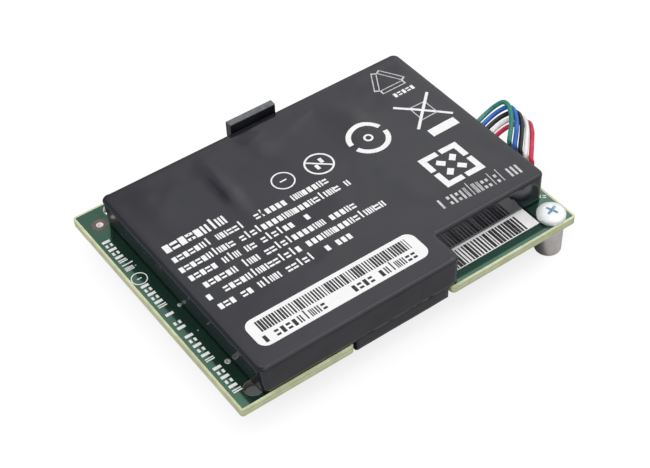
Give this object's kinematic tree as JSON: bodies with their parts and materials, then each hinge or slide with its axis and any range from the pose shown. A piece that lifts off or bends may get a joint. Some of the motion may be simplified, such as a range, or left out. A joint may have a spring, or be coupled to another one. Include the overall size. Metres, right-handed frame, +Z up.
{
  "type": "raid battery module",
  "caption": "Battery backup module: a film-wrapped flat cell pack hooked and latched onto a circuit board, with short leads, a standoff and an underside pin header.",
  "frame": {"origin": "middle of the standoff's foot, on the plane the module stands on", "axes": "+X along the board's long side, away from the locating holes and towards the standoff's side; +Y towards the board's back edge, where the latch is; +Z up through the pack"},
  "size_m": [0.0797, 0.0551, 0.0158],
  "materials": {
    "board": "satin",
    "film": "gloss",
    "carrier": "satin",
    "cell_can": "satin",
    "nickel": "satin",
    "white_label": "satin",
    "ivory_plastic": "satin",
    "pin_tin": "satin",
    "pin_gold": "polished",
    "screw_zinc": "polished",
    "standoff_nickel": "satin",
    "chip_body": "matte",
    "ferrite": "matte",
    "capacitor_body": "satin",
    "fuse_body": "matte",
    "foam_pad": "matte",
    "fibre_sheet": "matte",
    "lead_green": "satin",
    "lead_blue": "satin",
    "lead_black": "satin",
    "lead_white": "satin",
    "lead_red": "satin"
  },
  "bodies": {
    "root": {"main_board": "board", "battery_carrier": "carrier", "film_wrap": "film", "battery_cell": "cell_can", "cell_terminal": "nickel", "cell_pad": "foam_pad", "insulating_sheet": "fibre_sheet", "protection_board": "board", "protection_chips": "chip_body", "protection_parts": "capacitor_body", "thermal_fuse": "fuse_body", "strip_terminal": "nickel", "strip_fuse": "nickel", "strip_can": "nickel", "pack_label": "white_label", "board_label": "white_label", "lead_green": "lead_green", "lead_blue": "lead_blue", "lead_black": "lead_black", "lead_white": "lead_white", "lead_red": "lead_red", "lead_plug": "ivory_plastic", "board_socket": "ivory_plastic", "socket_pins": "pin_tin", "mounting_screw": "screw_zinc", "standoff": "standoff_nickel", "header_base": "chip_body", "header_pins": "pin_gold", "charger_chip": "chip_body", "gauge_chip": "chip_body", "gauge_leads": "pin_tin", "memory_chip": "chip_body", "memory_leads": "pin_tin", "switch_transistors": "chip_body", "transistor_leads": "pin_tin", "power_inductor": "ferrite", "inductor_core": "ferrite", "rectifier_diode": "chip_body", "diode_tabs": "pin_tin", "bulk_capacitors": "capacitor_body", "bulk_capacitor_ends": "pin_tin", "small_capacitors": "capacitor_body", "small_capacitor_ends": "pin_tin", "chip_resistors": "chip_body", "resistor_ends": "pin_tin"}
  },
  "joints": []
}
